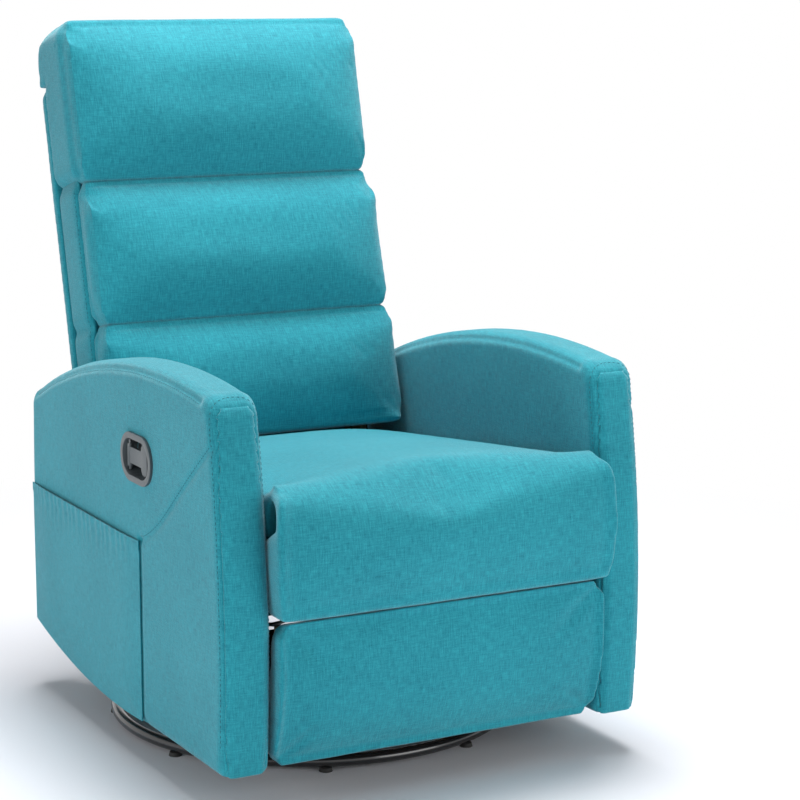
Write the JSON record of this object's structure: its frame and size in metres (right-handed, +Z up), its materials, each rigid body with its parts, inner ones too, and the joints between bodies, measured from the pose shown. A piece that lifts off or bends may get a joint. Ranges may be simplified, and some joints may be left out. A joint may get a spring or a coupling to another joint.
{
  "type": "swivel rocker recliner",
  "caption": "Padded recliner with slim arched arms, channelled pillow back and scissor footrest, rocking on a swivelling round tube base.",
  "frame": {"origin": "on the floor under the middle of the chair's outer box", "axes": "+Z up; the sitter faces -Y; the release handle is on the -X arm"},
  "size_m": [0.688, 0.9324, 1.0645],
  "materials": {
    "fabric": "woven teal upholstery cloth",
    "black_cloth": "black dust cloth",
    "webbing": "elastic webbing",
    "black_steel": "gloss black painted steel",
    "spring_steel": "plain spring steel",
    "bearing_plastic": "bearing plastic",
    "rubber": "hard black rubber",
    "black_plastic": "moulded black plastic",
    "wood": "raw plywood and softwood"
  },
  "bodies": {
    "base": {"base_ring": "black_steel", "base_feet": "rubber", "base_spokes": "black_steel", "swivel_hub": "black_steel"},
    "swivel": {"thrust_ring": "bearing_plastic", "swivel_plate": "black_steel", "rocker_rails": "black_steel", "rail_pads": "rubber", "rocker_guides": "black_steel", "rocker_springs": "spring_steel"},
    "rock_slider": {"guide_blocks": "bearing_plastic"},
    "chassis": {"rocker_cams": "black_steel", "cross_tubes": "black_steel", "side_rails": "wood", "front_rail": "wood", "rear_rail": "wood", "seat_posts": "wood", "left_arm_board": "wood", "right_arm_board": "wood", "left_arm_cover": "fabric", "right_arm_cover": "fabric", "left_arm_front": "fabric", "right_arm_front": "fabric", "left_pocket": "fabric", "right_pocket": "fabric", "release_bezel": "black_plastic", "release_cable": "rubber", "left_mechanism_plate": "black_steel", "right_mechanism_plate": "black_steel", "seat_cushion": "fabric", "seat_frame": "wood", "seat_webbing": "webbing", "seat_roll": "fabric"},
    "release_paddle": {"release_paddle": "black_plastic"},
    "long_links": {"long_links": "black_steel", "cross_rod": "black_steel"},
    "short_links": {"short_links": "black_steel"},
    "knee_links": {"knee_links": "black_steel"},
    "footrest": {"footrest_brackets": "black_steel", "footrest_board": "wood", "footrest_pad": "fabric"},
    "front_flap": {"front_flap": "fabric", "flap_hinge": "black_steel"},
    "back": {"back_board": "fabric", "back_frame": "wood", "back_webbing": "webbing", "back_brackets": "black_steel", "lower_back_pad": "fabric", "middle_back_pad": "fabric", "head_pad": "fabric"},
    "rear_flap": {"rear_flap": "black_cloth"}
  },
  "joints": [
    {"name": "swivel_turn", "type": "hinge", "parent": "base", "child": "swivel", "pos_m": [0, -0.007, 0.057], "axis": [0, 0, 1], "continuous": true},
    {"name": "rock_roll", "type": "slide", "parent": "swivel", "child": "rock_slider", "axis": [0, 1, 0], "range_m": [-0.0185, 0.0245]},
    {"name": "rock_tilt", "type": "hinge", "parent": "rock_slider", "child": "chassis", "pos_m": [0, -0.007, 0.2806], "axis": [-1, 0, 0], "range_deg": [-6, 8], "stiffness_Nm_per_rad": 1100, "deforming": ["rocker_springs"]},
    {"name": "release_pull", "type": "hinge", "parent": "chassis", "child": "release_paddle", "pos_m": [-0.334, -0.097, 0.456], "axis": [0, 0, -1], "range_deg": [0, 35], "stiffness_Nm_per_rad": 0.25},
    {"name": "footrest_swing", "type": "hinge", "parent": "chassis", "child": "long_links", "pos_m": [0.25, -0.303, 0.334], "axis": [-1, 0, 0], "range_deg": [0, 67]},
    {"name": "scissor_cross", "type": "hinge", "parent": "long_links", "child": "short_links", "pos_m": [0.245, -0.32175, 0.22764], "axis": [-1, 0, 0], "range_deg": [-134.5, 0.5]},
    {"name": "knee_turn", "type": "hinge", "parent": "long_links", "child": "knee_links", "pos_m": [0.245, -0.34051, 0.12128], "axis": [-1, 0, 0], "range_deg": [-134.5, 0.5]},
    {"name": "footrest_turn", "type": "hinge", "parent": "knee_links", "child": "footrest", "pos_m": [0.25, -0.35926, 0.22764], "axis": [-1, 0, 0], "range_deg": [-0.5, 134.5]},
    {"name": "flap_swing", "type": "hinge", "parent": "chassis", "child": "front_flap", "pos_m": [0, -0.407, 0.414], "axis": [-1, 0, 0], "range_deg": [-0.5, 80.5], "deforming": ["seat_roll"]},
    {"name": "back_recline", "type": "hinge", "parent": "chassis", "child": "back", "pos_m": [0.245, 0.193, 0.225], "axis": [-1, 0, 0], "range_deg": [0, 21]},
    {"name": "rear_flap_hang", "type": "hinge", "parent": "back", "child": "rear_flap", "pos_m": [0, 0.3198, 0.38096], "axis": [-1, 0, 0], "range_deg": [-21.5, 0.5]}
  ],
  "couplings": [
    {"joint": "rock_roll", "follows": "rock_tilt", "m_per_rad": 0.17},
    {"joint": "scissor_cross", "follows": "footrest_swing", "ratio": -2},
    {"joint": "knee_turn", "follows": "footrest_swing", "ratio": -2},
    {"joint": "footrest_turn", "follows": "footrest_swing", "ratio": 2},
    {"joint": "flap_swing", "follows": "footrest_swing", "ratio": 1.194},
    {"joint": "rear_flap_hang", "follows": "back_recline", "ratio": -1}
  ]
}
